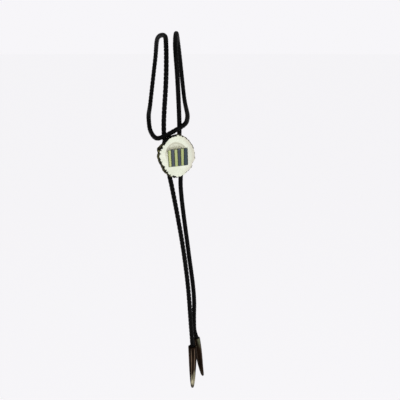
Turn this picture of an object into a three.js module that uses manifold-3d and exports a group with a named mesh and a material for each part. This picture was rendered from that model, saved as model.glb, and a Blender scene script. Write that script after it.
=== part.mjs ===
// Bolo tie: a braided leather cord with an antler slide and two antler tips, as it hangs.
// Millimetres, +Z up, +Y away from the front. The origin is the hang point: the top of the
// neck that the cord lies over, midway between its two runs.
import * as THREE from 'three';
import { mergeVertices } from 'three/addons/utils/BufferGeometryUtils.js';
import Module from 'manifold-3d';

const wasm = await Module();
wasm.setup();

// Fits
const SEAT_GAP = 0.3;
const MERGE_DISTANCE = 1e-4;
const CORD_CLEARANCE = 0.45;

// Cord
const CORD_DIAMETER = 4;
const CORD_SIDES = 10;
const STEPS_PER_SPAN = 2;

// Clip on the slide's back
const TUNNEL_LENGTH = 18;
const TUNNEL_WALL = 0.8;
const PLATE_WIDTH = 21.5;
const PLATE_HEIGHT = 19.5;
const PLATE_THICKNESS = 1;
const PLATE_CORNER_RADIUS = 4;
const PLATE_WEB = 0.2;
const ROUND_SIDES = 24;

// Antler slice, set off from the middle between the tunnels
const FACE_WIDTH = 34.6;
const FACE_HEIGHT = 39.5;
const SLICE_THICKNESS = 7;
const RIM_FLARE = 1.5;
const FACE_CHAMFER = 0.35;
const SLICE_OFFSET_X = 1.6;
const SLICE_OFFSET_Y = 1.7;

// Inlaid stone strips, set off from the middle of the face
const INLAY_WIDTH = 19.2;
const INLAY_HEIGHT = 16.4;
const INLAY_OFFSET_X = 0.8;
const INLAY_OFFSET_Y = -1.1;
const INLAY_PROUD = 1.2;
const INLAY_DOME = 0.4;
const INLAY_JOINT = 0.3;
const POCKET_DEPTH = 1;
const STRIP_END_ROUND = 0.6;

// Tips
const FRONT_TIP_LENGTH = 48.2;
const FRONT_TIP_WALL = 2.05;
const REAR_TIP_LENGTH = 44.8;
const REAR_TIP_WALL = 1.25;
const SOCKET_RIM_ROUND = 0.3;
const TINE_END_SHARE = 0.4;

// Places on the cord that other pieces take theirs from
const FRONT_SOCKET = { end: [22.8, -44.0, -322.5], mouth: [22.8, -44.0, -314.0] };
const FRONT_TUNNEL = { foot: [-0.6, -42.3, -124.1], top: [-2.0, -42.6, -103.2] };
const REAR_TUNNEL = { top: [10.6, -39.7, -102.3], foot: [12.0, -39.4, -123.2] };
const REAR_SOCKET = { mouth: [27.0, -37.2, -307.7], end: [28.1, -37.2, -316.1] };

// The cord's route: from the front tip up to the slide, over the hang point and down behind it,
// round in front of both runs, back under and over the hang point, and down through the slide
// to the rear tip
const CORD_ROUTE = [
  FRONT_SOCKET.end,
  FRONT_SOCKET.mouth,
  [21.0, -43.9, -285.4],
  [18.5, -43.7, -247.9],
  [14.1, -43.4, -209.3],
  [9.1, -43.0, -177.0],
  [3.1, -42.6, -143.4],
  FRONT_TUNNEL.foot,
  FRONT_TUNNEL.top,
  [-3.6, -42.2, -95.8],
  [-4.1, -41.5, -81.6],
  [-1.4, -40.6, -38.7],
  [-1.6, -28.7, -10.0],
  [-4.0, -8.4, 0.7],
  [-12.0, 11.2, -1.1],
  [-16.5, 35.8, -21.7],
  [-22.2, 30.5, -67.5],
  [-20.8, -13.0, -80.0],
  [-17.6, -30.0, -90.6],
  [-10.6, -43.2, -95.2],
  [-2.3, -47.3, -92.1],
  [5.8, -47.0, -87.8],
  [15.3, -41.5, -82.5],
  [18.2, -24.0, -78.1],
  [13.6, 33.5, -61.5],
  [8.6, 32.4, -12.7],
  [7.2, 0.0, 3.1],
  [7.1, -28.7, -8.8],
  [9.3, -40.6, -37.2],
  [10.8, -40.2, -79.9],
  REAR_TUNNEL.top,
  REAR_TUNNEL.foot,
  [11.6, -39.1, -144.2],
  [18.9, -38.3, -211.0],
  [23.5, -38.0, -249.0],
  [24.6, -37.9, -266.0],
  [24.4, -37.7, -286.0],
  [24.9, -37.5, -299.0],
  REAR_SOCKET.mouth,
  REAR_SOCKET.end,
];

// The slice's outline: angle in degrees from the right, the face's edge as a share of its half
// width and height there, and how far the rim stands out beyond it as a share of the flare
const RIM_ROWS = [
  { angle: 1, face: 0.974, flare: 0.45 },
  { angle: 7, face: 1.009, flare: 0.35 },
  { angle: 25, face: 0.994, flare: 0.6 },
  { angle: 41, face: 0.99, flare: 0.5 },
  { angle: 56, face: 0.988, flare: 0.65 },
  { angle: 69, face: 1.0, flare: 0.45 },
  { angle: 84, face: 1.005, flare: 0.4 },
  { angle: 107, face: 0.983, flare: 0.35 },
  { angle: 124, face: 0.945, flare: 0.9 },
  { angle: 133, face: 0.92, flare: 1.5 },
  { angle: 141, face: 0.9, flare: 1.4 },
  { angle: 151, face: 0.93, flare: 1.5 },
  { angle: 159, face: 0.951, flare: 1.9 },
  { angle: 167, face: 0.93, flare: 1.6 },
  { angle: 174, face: 0.95, flare: 1.5 },
  { angle: 181, face: 0.98, flare: 0.8 },
  { angle: 188, face: 0.9, flare: 1.6 },
  { angle: 197, face: 0.885, flare: 1.4 },
  { angle: 207, face: 0.875, flare: 1.7 },
  { angle: 218, face: 0.895, flare: 2.0 },
  { angle: 228, face: 0.92, flare: 1.8 },
  { angle: 237, face: 0.965, flare: 0.9 },
  { angle: 248, face: 0.995, flare: 0.8 },
  { angle: 258, face: 1.0, flare: 1.1 },
  { angle: 268, face: 1.003, flare: 0.6 },
  { angle: 283, face: 0.983, flare: 0.5 },
  { angle: 300, face: 0.935, flare: 0.7 },
  { angle: 312, face: 0.96, flare: 0.5 },
  { angle: 321, face: 0.976, flare: 0.6 },
  { angle: 335, face: 0.934, flare: 0.55 },
  { angle: 346, face: 1.018, flare: 0.4 },
];
const RIM_STEPS_PER_ROW = 3;

// The rim's profile from back to front: height as a share of the slice's thickness, and the
// share of the row's flare that it reaches there
const RIM_LEVELS = [
  { height: 0, reach: 0.1 },
  { height: 0.12, reach: 0.75 },
  { height: 0.36, reach: 1 },
  { height: 0.62, reach: 0.9 },
  { height: 0.84, reach: 0.45 },
  { height: 0.95, reach: 0 },
];

// The six strips from left to right: their sides at the top and foot as shares of the inlay's
// width, and their ends as shares of its height, both from its lower left corner, and their stone
const STRIP_ROWS = [
  { topLeft: 0.005, topRight: 0.165, footLeft: 0, footRight: 0.135, foot: 0.01, top: 0.965, stone: 'green' },
  { topLeft: 0.165, topRight: 0.325, footLeft: 0.135, footRight: 0.305, foot: 0, top: 0.985, stone: 'slate' },
  { topLeft: 0.325, topRight: 0.49, footLeft: 0.305, footRight: 0.465, foot: 0, top: 0.985, stone: 'green' },
  { topLeft: 0.49, topRight: 0.65, footLeft: 0.465, footRight: 0.62, foot: 0, top: 1, stone: 'slate' },
  { topLeft: 0.65, topRight: 0.82, footLeft: 0.62, footRight: 0.76, foot: 0.005, top: 0.99, stone: 'green' },
  { topLeft: 0.82, topRight: 1.0, footLeft: 0.76, footRight: 0.96, foot: 0, top: 0.985, stone: 'teal' },
];
const STONE_COLOURS = { green: 0xa9b673, slate: 0x4d5367, teal: 0x3d5563 };
const STRIP_ARC_STEPS = 6;

// The tips from mouth to point: place along the length, girth as a share of the full diameter
// round the socket, and sideways bend as a share of the length
const FRONT_TINE_ROWS = [
  { along: 0.012, girth: 1.0, bend: 0 },
  { along: 0.15, girth: 0.98, bend: 0.002 },
  { along: 0.335, girth: 0.92, bend: 0.003 },
  { along: 0.57, girth: 0.79, bend: 0.001 },
  { along: 0.78, girth: 0.63, bend: 0 },
  { along: 0.9, girth: 0.48, bend: -0.002 },
  { along: 0.965, girth: 0.36, bend: -0.003 },
  { along: 0.993, girth: 0.2, bend: -0.003 },
];
const REAR_TINE_ROWS = [
  { along: 0.012, girth: 0.97, bend: 0 },
  { along: 0.15, girth: 1.0, bend: 0.001 },
  { along: 0.32, girth: 0.98, bend: 0.002 },
  { along: 0.58, girth: 0.86, bend: 0.001 },
  { along: 0.75, girth: 0.69, bend: 0.004 },
  { along: 0.9, girth: 0.51, bend: 0.012 },
  { along: 0.965, girth: 0.39, bend: 0.018 },
  { along: 0.993, girth: 0.22, bend: 0.021 },
];
const TINE_SIDES = 20;

// Worked-out places in the slide's own frame: X right, Y up, Z to the front, tunnels at Z 0
const BORE_RADIUS = CORD_DIAMETER / 2 + CORD_CLEARANCE;
const PLATE_BACK = BORE_RADIUS + PLATE_WEB;
const SLICE_BACK = PLATE_BACK + PLATE_THICKNESS + SEAT_GAP;
const FACE_Z = SLICE_BACK + SLICE_THICKNESS;
const POCKET_FLOOR = FACE_Z - POCKET_DEPTH;
const INLAY_LEFT = SLICE_OFFSET_X + INLAY_OFFSET_X - INLAY_WIDTH / 2;
const INLAY_FOOT = SLICE_OFFSET_Y + INLAY_OFFSET_Y - INLAY_HEIGHT / 2;

const toVector = (place) => new THREE.Vector3(...place);

// A closed solid skinned through rings of equal length, each running anticlockwise about the
// way of travel, with a fan at each end
function skinRings(rings) {
  const sides = rings[0].length;
  const positions = rings.flat().flatMap((point) => point.toArray());
  const centreOf = (ring) =>
    ring.reduce((sum, point) => sum.add(point), new THREE.Vector3()).divideScalar(sides);
  const firstCentre = rings.length * sides;
  positions.push(...centreOf(rings[0]).toArray(), ...centreOf(rings.at(-1)).toArray());
  const faces = [];
  for (let side = 0; side < sides; side += 1) {
    const next = (side + 1) % sides;
    const last = (rings.length - 1) * sides;
    faces.push(firstCentre, next, side);
    faces.push(firstCentre + 1, last + side, last + next);
    for (let ring = 0; ring < rings.length - 1; ring += 1) {
      const near = ring * sides;
      const far = near + sides;
      faces.push(near + side, near + next, far + next);
      faces.push(near + side, far + next, far + side);
    }
  }
  const geometry = new THREE.BufferGeometry();
  geometry.setAttribute('position', new THREE.Float32BufferAttribute(positions, 3));
  geometry.setIndex(faces);
  return geometry;
}

function toSolid(geometry) {
  const bare = geometry.clone();
  bare.deleteAttribute('normal');
  bare.deleteAttribute('uv');
  const merged = mergeVertices(bare, MERGE_DISTANCE);
  return new wasm.Manifold(
    new wasm.Mesh({
      numProp: 3,
      vertProperties: new Float32Array(merged.attributes.position.array),
      triVerts: new Uint32Array(merged.index.array),
    })
  );
}

function toGeometry(solid) {
  const { vertProperties, triVerts } = solid.getMesh();
  const geometry = new THREE.BufferGeometry();
  geometry.setAttribute('position', new THREE.Float32BufferAttribute(vertProperties, 3));
  geometry.setIndex(Array.from(triVerts));
  return geometry;
}

function namedMesh(name, geometry, colour, roughness, metalness = 0) {
  geometry.computeVertexNormals();
  const material = new THREE.MeshStandardMaterial({ color: colour, roughness, metalness, flatShading: true });
  const mesh = new THREE.Mesh(geometry, material);
  mesh.name = name;
  return mesh;
}

// A smooth curve through its points that is sampled span by span, so that close points in a
// bend give close steps
class RouteCurve extends THREE.CatmullRomCurve3 {
  getPointAt(share, target) {
    return this.getPoint(share, target);
  }

  getTangentAt(share, target) {
    return this.getTangent(share, target);
  }
}

function makeCord() {
  const corners = Array.from({ length: CORD_SIDES }, (_, side) => {
    const angle = (2 * Math.PI * side) / CORD_SIDES;
    return new THREE.Vector2(Math.cos(angle), Math.sin(angle)).multiplyScalar(CORD_DIAMETER / 2);
  });
  const geometry = new THREE.ExtrudeGeometry(new THREE.Shape(corners), {
    extrudePath: new RouteCurve(CORD_ROUTE.map(toVector)),
    steps: (CORD_ROUTE.length - 1) * STEPS_PER_SPAN,
    bevelEnabled: false,
  });
  return namedMesh('braided_cord', geometry, 0x141315, 0.45);
}

// The slide's frame from its two tunnels: X from one to the other, Y up along them
function slideFrame() {
  const tops = [FRONT_TUNNEL.top, REAR_TUNNEL.top].map(toVector);
  const feet = [FRONT_TUNNEL.foot, REAR_TUNNEL.foot].map(toVector);
  const middles = tops.map((top, run) => top.clone().add(feet[run]).multiplyScalar(0.5));
  const up = tops[0].clone().add(tops[1]).sub(feet[0]).sub(feet[1]).normalize();
  const across = middles[1].clone().sub(middles[0]);
  const front = across.clone().cross(up).normalize();
  const right = up.clone().cross(front);
  return {
    centre: middles[0].clone().add(middles[1]).multiplyScalar(0.5),
    tunnelX: across.dot(right) / 2,
    turn: new THREE.Matrix4().makeBasis(right, up, front),
  };
}

function roundedPlate(width, height, radius) {
  const shape = new THREE.Shape();
  const x = width / 2 - radius;
  const y = height / 2 - radius;
  shape.absarc(x, y, radius, 0, Math.PI / 2);
  shape.absarc(-x, y, radius, Math.PI / 2, Math.PI);
  shape.absarc(-x, -y, radius, Math.PI, 1.5 * Math.PI);
  shape.absarc(x, -y, radius, 1.5 * Math.PI, 2 * Math.PI);
  return shape;
}

function makeClip(tunnelX) {
  const plateShape = roundedPlate(PLATE_WIDTH, PLATE_HEIGHT, PLATE_CORNER_RADIUS);
  const plate = new THREE.ExtrudeGeometry(plateShape, {
    depth: PLATE_THICKNESS,
    bevelEnabled: false,
    curveSegments: 5,
  });
  plate.translate(0, 0, PLATE_BACK);
  const rod = (radius, length, x) =>
    toSolid(new THREE.CylinderGeometry(radius, radius, length, ROUND_SIDES).translate(x, 0, 0));
  const outerRadius = BORE_RADIUS + TUNNEL_WALL;
  const boreLength = TUNNEL_LENGTH + 2 * TUNNEL_WALL;
  let clip = toSolid(plate);
  for (const x of [-tunnelX, tunnelX]) {
    clip = clip.add(rod(outerRadius, TUNNEL_LENGTH, x));
  }
  for (const x of [-tunnelX, tunnelX]) {
    clip = clip.subtract(rod(BORE_RADIUS, boreLength, x));
  }
  return namedMesh('cord_clip', toGeometry(clip), 0xb9b4a8, 0.35, 1);
}

// One ring of the slice: a closed curve through the rows, at a height and a share of the flare
function sliceRing(z, reach, inset = 0) {
  const points = RIM_ROWS.map((row) => {
    const angle = THREE.MathUtils.degToRad(row.angle);
    const stand = RIM_FLARE * row.flare * reach - inset;
    const x = ((FACE_WIDTH / 2) * row.face + stand) * Math.cos(angle);
    const y = ((FACE_HEIGHT / 2) * row.face + stand) * Math.sin(angle);
    return new THREE.Vector3(SLICE_OFFSET_X + x, SLICE_OFFSET_Y + y, z);
  });
  const curve = new THREE.CatmullRomCurve3(points, true);
  return curve.getPoints(RIM_ROWS.length * RIM_STEPS_PER_ROW).slice(0, -1);
}

function inlayPocket() {
  const first = STRIP_ROWS[0];
  const last = STRIP_ROWS.at(-1);
  const left = (share) => INLAY_LEFT + share * INLAY_WIDTH - SEAT_GAP;
  const right = (share) => INLAY_LEFT + share * INLAY_WIDTH + SEAT_GAP;
  const foot = INLAY_FOOT - SEAT_GAP;
  const top = INLAY_FOOT + INLAY_HEIGHT + SEAT_GAP;
  const shape = new THREE.Shape([
    new THREE.Vector2(left(first.footLeft), foot),
    new THREE.Vector2(right(last.footRight), foot),
    new THREE.Vector2(right(last.topRight), top),
    new THREE.Vector2(left(first.topLeft), top),
  ]);
  const pocket = new THREE.ExtrudeGeometry(shape, { depth: 2 * POCKET_DEPTH, bevelEnabled: false });
  return pocket.translate(0, 0, POCKET_FLOOR);
}

function makeSlice() {
  const levelZ = (level) => SLICE_BACK + level.height * SLICE_THICKNESS;
  const rings = RIM_LEVELS.map((level) => sliceRing(levelZ(level), level.reach));
  rings.push(sliceRing(FACE_Z, 0, FACE_CHAMFER));
  const slice = toSolid(skinRings(rings)).subtract(toSolid(inlayPocket()));
  return namedMesh('antler_slice', toGeometry(slice), 0xe6e6d4, 0.4);
}

// One strip: sections along its length, each a flat base and sides under a low arc
function makeStrip(row, index) {
  const base = POCKET_FLOOR + SEAT_GAP;
  const crown = FACE_Z + INLAY_PROUD;
  const shareToX = (share, side) => INLAY_LEFT + share * INLAY_WIDTH - (side * INLAY_JOINT) / 2;
  const foot = INLAY_FOOT + row.foot * INLAY_HEIGHT;
  const top = INLAY_FOOT + row.top * INLAY_HEIGHT;
  const section = (y, drop) => {
    const share = (y - foot) / (top - foot);
    const left = shareToX(THREE.MathUtils.lerp(row.footLeft, row.topLeft, share), -1);
    const right = shareToX(THREE.MathUtils.lerp(row.footRight, row.topRight, share), 1);
    const points = [new THREE.Vector3(left, y, base)];
    for (let step = 0; step <= STRIP_ARC_STEPS; step += 1) {
      const across = step / STRIP_ARC_STEPS;
      const fall = INLAY_DOME * (2 * across - 1) ** 2;
      points.push(new THREE.Vector3(THREE.MathUtils.lerp(left, right, across), y, crown - drop - fall));
    }
    points.push(new THREE.Vector3(right, y, base));
    return points;
  };
  const rings = [
    section(foot, INLAY_DOME),
    section(foot + STRIP_END_ROUND, 0),
    section(top - STRIP_END_ROUND, 0),
    section(top, INLAY_DOME),
  ];
  return namedMesh(`inlay_strip_${index + 1}`, skinRings(rings), STONE_COLOURS[row.stone], 0.25);
}

// A tine in its own frame: Z from the mouth to the point, with a blind socket for the cord
function makeTip(name, socket, length, wall, rows, colour) {
  const mouth = toVector(socket.mouth);
  const axis = mouth.clone().sub(toVector(socket.end)).negate();
  const socketDepth = axis.length() + SEAT_GAP;
  axis.normalize();
  const fullRadius = BORE_RADIUS + wall;
  const ring = (radius, z, shift) =>
    Array.from({ length: TINE_SIDES }, (_, side) => {
      const angle = (2 * Math.PI * side) / TINE_SIDES;
      return new THREE.Vector3(shift + radius * Math.cos(angle), radius * Math.sin(angle), z);
    });
  const rings = [
    ring(BORE_RADIUS, socketDepth, 0),
    ring(BORE_RADIUS, SOCKET_RIM_ROUND, 0),
    ring(BORE_RADIUS + SOCKET_RIM_ROUND, 0, 0),
    ring(fullRadius * rows[0].girth - SOCKET_RIM_ROUND, 0, 0),
    ...rows.map((row) => ring(fullRadius * row.girth, row.along * length, row.bend * length)),
    ring(fullRadius * rows.at(-1).girth * TINE_END_SHARE, length, rows.at(-1).bend * length),
  ];
  const mesh = namedMesh(name, skinRings(rings), colour, 0.4);
  const side = new THREE.Vector3(1, 0, 0).addScaledVector(axis, -axis.x).normalize();
  mesh.quaternion.setFromRotationMatrix(
    new THREE.Matrix4().makeBasis(side, axis.clone().cross(side), axis)
  );
  mesh.position.copy(mouth);
  return mesh;
}

const frame = slideFrame();
const slide = new THREE.Group();
slide.position.copy(frame.centre);
slide.quaternion.setFromRotationMatrix(frame.turn);
slide.add(makeSlice(), makeClip(frame.tunnelX), ...STRIP_ROWS.map(makeStrip));

const boloTie = new THREE.Group();
boloTie.add(
  makeCord(),
  slide,
  makeTip('antler_tip_front', FRONT_SOCKET, FRONT_TIP_LENGTH, FRONT_TIP_WALL, FRONT_TINE_ROWS, 0x3d2b22),
  makeTip('antler_tip_rear', REAR_SOCKET, REAR_TIP_LENGTH, REAR_TIP_WALL, REAR_TINE_ROWS, 0x332820)
);

export default boloTie;
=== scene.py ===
"""A bolo tie, dressed: braided black leather, an antler slide with inlaid stone, antler tips."""
import bpy
import numpy as np
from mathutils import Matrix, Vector


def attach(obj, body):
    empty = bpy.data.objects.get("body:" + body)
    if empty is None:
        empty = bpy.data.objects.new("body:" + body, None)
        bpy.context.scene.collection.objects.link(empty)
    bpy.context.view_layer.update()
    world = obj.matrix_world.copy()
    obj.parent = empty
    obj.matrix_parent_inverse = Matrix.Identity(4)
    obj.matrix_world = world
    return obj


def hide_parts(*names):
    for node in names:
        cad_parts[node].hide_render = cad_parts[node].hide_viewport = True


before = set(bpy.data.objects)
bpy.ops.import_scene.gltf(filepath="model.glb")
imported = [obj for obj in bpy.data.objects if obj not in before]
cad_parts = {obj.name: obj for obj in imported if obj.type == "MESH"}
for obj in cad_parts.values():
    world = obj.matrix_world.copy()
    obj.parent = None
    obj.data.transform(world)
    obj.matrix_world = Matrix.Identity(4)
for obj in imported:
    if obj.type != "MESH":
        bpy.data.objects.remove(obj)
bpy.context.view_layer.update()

MM = 0.001
BODY = "root"

# Camera, as the photograph was taken: millimetres, degrees and picture points, and in metres the
# distances that it sees between
CAMERA_AIM = (30.7, -41.0, -157.0)
CAMERA_PITCH = 14.0
CAMERA_DISTANCE = 620.0
CAMERA_FOCAL_PX = 626.0
PICTURE_PX = 400.0
SENSOR_WIDTH = 36.0
SEEN_FROM, SEEN_TO = 0.02, 40.0

# Cord
CORD_DIAMETER = 4.0
FRONT_SOCKET_END = (22.8, -44.0, -322.5)
FRONT_SOCKET_MOUTH = (22.8, -44.0, -314.0)
FRONT_TUNNEL_FOOT = (-0.6, -42.3, -124.1)
FRONT_TUNNEL_TOP = (-2.0, -42.6, -103.2)
REAR_TUNNEL_TOP = (10.6, -39.7, -102.3)
REAR_TUNNEL_FOOT = (12.0, -39.4, -123.2)
REAR_SOCKET_MOUTH = (27.0, -37.2, -307.7)
REAR_SOCKET_END = (28.1, -37.2, -316.1)

# From the front tip up to the slide, over the hang point and down behind it, round in front of
# both runs, back under and over the hang point, and down through the slide to the rear tip
CORD_ROUTE = (
    FRONT_SOCKET_END,
    FRONT_SOCKET_MOUTH,
    (21.0, -43.9, -285.4),
    (18.5, -43.7, -247.9),
    (14.1, -43.4, -209.3),
    (9.1, -43.0, -177.0),
    (3.1, -42.6, -143.4),
    FRONT_TUNNEL_FOOT,
    FRONT_TUNNEL_TOP,
    (-3.6, -42.2, -95.8),
    (-4.1, -41.5, -81.6),
    (-1.4, -40.6, -38.7),
    (-1.6, -28.7, -10.0),
    (-4.0, -8.4, 0.7),
    (-12.0, 11.2, -1.1),
    (-16.5, 35.8, -21.7),
    (-22.2, 30.5, -67.5),
    (-20.8, -13.0, -80.0),
    (-17.6, -30.0, -90.6),
    (-10.6, -43.2, -95.2),
    (-2.3, -47.3, -92.1),
    (5.8, -47.0, -87.8),
    (15.3, -41.5, -82.5),
    (18.2, -24.0, -78.1),
    (13.6, 33.5, -61.5),
    (8.6, 32.4, -12.7),
    (7.2, 0.0, 3.1),
    (7.1, -28.7, -8.8),
    (9.3, -40.6, -37.2),
    (10.8, -40.2, -79.9),
    REAR_TUNNEL_TOP,
    REAR_TUNNEL_FOOT,
    (11.6, -39.1, -144.2),
    (18.9, -38.3, -211.0),
    (23.5, -38.0, -249.0),
    (24.6, -37.9, -266.0),
    (24.4, -37.7, -286.0),
    (24.9, -37.5, -299.0),
    REAR_SOCKET_MOUTH,
    REAR_SOCKET_END,
)
ROUTE_SAMPLES_PER_SPAN = 120
LINE_STEP = 0.25

# Braid: four flat laces, two each way, over a thin core. The powers square off a lace's oval
# section
BRAID_RADIUS = 2.4
LACE_LEAD = 8.0
LACE_WIDTH = 3.05
LACE_THICKNESS = 0.8
LACE_RISE = 0.2
LACE_FLATTENING = 1.3
LACE_STEP = 0.55
LACE_SECTION_POINTS = 10
LACE_SIDE_POWER = 0.7
LACE_FACE_POWER = 0.55
CORE_RADIUS = 1.15
CORE_STEP = 2.0
CORE_SIDES = 8

# Slide, in its own frame: X right, Y up, Z to the front, the tunnels' middle lines at Z 0
CORD_CLEARANCE = 0.45
SEAT_GAP = 0.3
BORE_RADIUS = CORD_DIAMETER / 2 + CORD_CLEARANCE
TUNNEL_LENGTH = 18.0
TUNNEL_WALL = 0.8
TUNNEL_SIDES = 64
TUNNEL_LIP_STEPS = 9
PLATE_WIDTH = 21.5
PLATE_HEIGHT = 19.5
PLATE_THICKNESS = 1.0
PLATE_CORNER_RADIUS = 4.0
PLATE_WEB = 0.2
PLATE_BEVEL = 0.25
PLATE_CORNER_STEPS = 12
PLATE_BEVEL_STEPS = 5
PLATE_BACK = BORE_RADIUS + PLATE_WEB
SLICE_BACK = PLATE_BACK + PLATE_THICKNESS + SEAT_GAP
SLICE_THICKNESS = 7.0
FACE_Z = SLICE_BACK + SLICE_THICKNESS
FACE_WIDTH = 34.6
FACE_HEIGHT = 39.5
FACE_DOME = 0.15
RIM_FLARE = 1.5
SLICE_OFFSET = np.array((1.6, 1.7))
CORE_CENTRE = SLICE_OFFSET + np.array((-0.6, 1.9))
CORE_RADII = (10.6, 11.4)

# The slice's outline: angle in degrees from the right, the face's edge as a share of its half
# width and height there, and how far the rim stands out as a share of the flare
RIM_ROWS = np.array((
    (1, 0.974, 0.45), (7, 1.009, 0.35), (25, 0.994, 0.6), (41, 0.99, 0.5), (56, 0.988, 0.65),
    (69, 1.0, 0.45), (84, 1.005, 0.4), (107, 0.983, 0.35), (124, 0.945, 0.9), (133, 0.92, 1.5),
    (141, 0.9, 1.4), (151, 0.93, 1.5), (159, 0.951, 1.9), (167, 0.93, 1.6), (174, 0.95, 1.5),
    (181, 0.98, 0.8), (188, 0.9, 1.6), (197, 0.885, 1.4), (207, 0.875, 1.7), (218, 0.895, 2.0),
    (228, 0.92, 1.8), (237, 0.965, 0.9), (248, 0.995, 0.8), (258, 1.0, 1.1), (268, 1.003, 0.6),
    (283, 0.983, 0.5), (300, 0.935, 0.7), (312, 0.96, 0.5), (321, 0.976, 0.6), (335, 0.934, 0.55),
    (346, 1.018, 0.4),
))
RIM_SAMPLES_PER_ROW = 16

# The rim's profile from back to front: height as a share of the thickness, share of the flare,
# inset in millimetres, and share of the knobs' height
RIM_LEVELS = np.array((
    (0.0, 0.0, 0.1, 0.1), (0.05, 0.45, 0.0, 0.6), (0.16, 0.75, 0.0, 1.0), (0.36, 0.9, 0.0, 1.0),
    (0.6, 0.75, 0.0, 1.0), (0.8, 0.45, 0.0, 1.0), (0.93, 0.1, 0.0, 0.9), (0.985, 0.0, 0.05, 0.8),
    (1.0, 0.0, 0.3, 0.7),
))
RIM_SAMPLES_PER_LEVEL = 5
FACE_RINGS = 60
BACK_RINGS = 8
BARK_LEVELS = (0.02, 0.96)

# Knobs on the rim: their levels as shares of the thickness, their spacing and its scatter as a
# share of it, their scatter up and down, radius and height. Towards the right they sink into the
# rim, and they are calmer round one bearing, in degrees, where the cord lies close
KNOB_LEVELS = (0.18, 0.45, 0.72, 0.98)
KNOB_SPACING = 3.0
KNOB_SCATTER = 0.35
KNOB_LIFT = 0.7
KNOB_RADIUS = (1.0, 2.1)
KNOB_HEIGHT = (0.35, 1.15)
KNOB_SINK = 0.6
KNOB_SINK_REACH = 4.0
KNOB_SEED = 11
CALM_BEARING = 112
CALM_WIDTH = 22
CALM_SHARE = 0.75

# Inlay
INLAY_WIDTH = 19.2
INLAY_HEIGHT = 16.4
INLAY_OFFSET = np.array((0.8, -1.1))
INLAY_PROUD = 1.2
INLAY_DOME = 0.3
INLAY_JOINT = 0.3
INLAY_FILLET = 0.35
FADE_LENGTH = 2.6
GRAIN_SHIFT = 7.0
FILLET_POINTS = 6
LENGTH_POINTS = 34
CROWN_POINTS = 11
POCKET_DEPTH = 1.0
POCKET_CUT = 3.0
INLAY_LEFT, INLAY_FOOT = SLICE_OFFSET + INLAY_OFFSET - np.array((INLAY_WIDTH, INLAY_HEIGHT)) / 2
INLAY_TOP = INLAY_FOOT + INLAY_HEIGHT

# The strips from left to right: sides at the top and foot as shares of the inlay's width, ends
# as shares of its height, how far the top end fades, and the share of the darker tone
STRIP_ROWS = (
    {"stone": "green_stone", "top": (0.005, 0.165), "foot": (0.0, 0.135), "ends": (0.01, 0.965),
     "fade": 0.1, "shade": 0.2},
    {"stone": "slate_stone", "top": (0.165, 0.325), "foot": (0.135, 0.305), "ends": (0.0, 0.985),
     "fade": 0.0, "shade": 0.2},
    {"stone": "green_stone", "top": (0.325, 0.49), "foot": (0.305, 0.465), "ends": (0.0, 0.985),
     "fade": 0.3, "shade": 0.6},
    {"stone": "slate_stone", "top": (0.49, 0.65), "foot": (0.465, 0.62), "ends": (0.0, 1.0),
     "fade": 0.1, "shade": 0.6},
    {"stone": "green_stone", "top": (0.65, 0.82), "foot": (0.62, 0.76), "ends": (0.005, 0.99),
     "fade": 0.3, "shade": 0.8},
    {"stone": "teal_stone", "top": (0.82, 1.0), "foot": (0.76, 0.96), "ends": (0.0, 0.985),
     "fade": 0.0, "shade": 0.3},
)

# Tips: place along the length, girth as a share of the full diameter round the socket, and
# sideways bend as a share of the length
FRONT_TIP_LENGTH = 48.2
FRONT_TIP_WALL = 2.05
FRONT_TINE_ROWS = np.array((
    (0.0, 0.93, 0), (0.012, 1.0, 0), (0.15, 0.98, 0.002), (0.335, 0.92, 0.003), (0.57, 0.79, 0.001),
    (0.78, 0.63, 0), (0.9, 0.48, -0.002), (0.965, 0.36, -0.003), (0.993, 0.2, -0.003),
    (1.0, 0.03, -0.003),
))
REAR_TIP_LENGTH = 44.8
REAR_TIP_WALL = 1.25
REAR_TINE_ROWS = np.array((
    (0.0, 0.89, 0), (0.012, 0.97, 0), (0.15, 1.0, 0.001), (0.32, 0.98, 0.002), (0.58, 0.86, 0.001),
    (0.75, 0.69, 0.004), (0.9, 0.51, 0.012), (0.965, 0.39, 0.018), (0.993, 0.22, 0.021),
    (1.0, 0.03, 0.022),
))

# The two tips. A ridge has a bearing and a half width in degrees, and so has the painted highlight
# down one side, with its reach as a share of the length. The worn point has a colour and a share
TIP_ROWS = (
    {"piece": "front_tine", "node": "antler_tip_front", "mouth": FRONT_SOCKET_MOUTH,
     "end": FRONT_SOCKET_END, "length": FRONT_TIP_LENGTH, "wall": FRONT_TIP_WALL,
     "rows": FRONT_TINE_ROWS, "ridges": ((106, 9), (62, 9), (150, 12), (250, 14), (310, 10)),
     "side_highlight": (0, 20, 0.01), "worn_tone": (206, 198, 164), "worn_share": 1.0, "seed": 5},
    {"piece": "rear_tine", "node": "antler_tip_rear", "mouth": REAR_SOCKET_MOUTH,
     "end": REAR_SOCKET_END, "length": REAR_TIP_LENGTH, "wall": REAR_TIP_WALL,
     "rows": REAR_TINE_ROWS, "ridges": ((40, 10), (120, 12), (200, 12), (290, 14)),
     "side_highlight": (48, 42, 0.45), "worn_tone": (84, 72, 50), "worn_share": 0.3, "seed": 8},
)
TINE_SIDES = 112
TINE_SAMPLES_PER_ROW = 16

# The socket's lip: radius as a share of the bore's, and depth
SOCKET_LIP = ((1.0, 0.5), (1.04, 0.2), (1.12, 0.0))

# Relief on the tips: how high it is, the shares of furrows, ridges and the level that they rise
# from, how it fades towards both ends, and the waves that make the furrows
TINE_GROOVE = 0.2
FURROW_SHARE, RIDGE_SHARE, RELIEF_FLOOR = 0.6, 1.1, 0.5
RELIEF_SKEW, RELIEF_POWER = 0.45, 0.6
FURROW_WAVES = 7
FURROW_COUNTS = (5, 17)
FURROW_TURNS = (0, 6.3)
FURROW_SIZES = (0.3, 1.0)
FURROW_TWIST = 1.5
FURROW_CALM = 3.5

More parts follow.
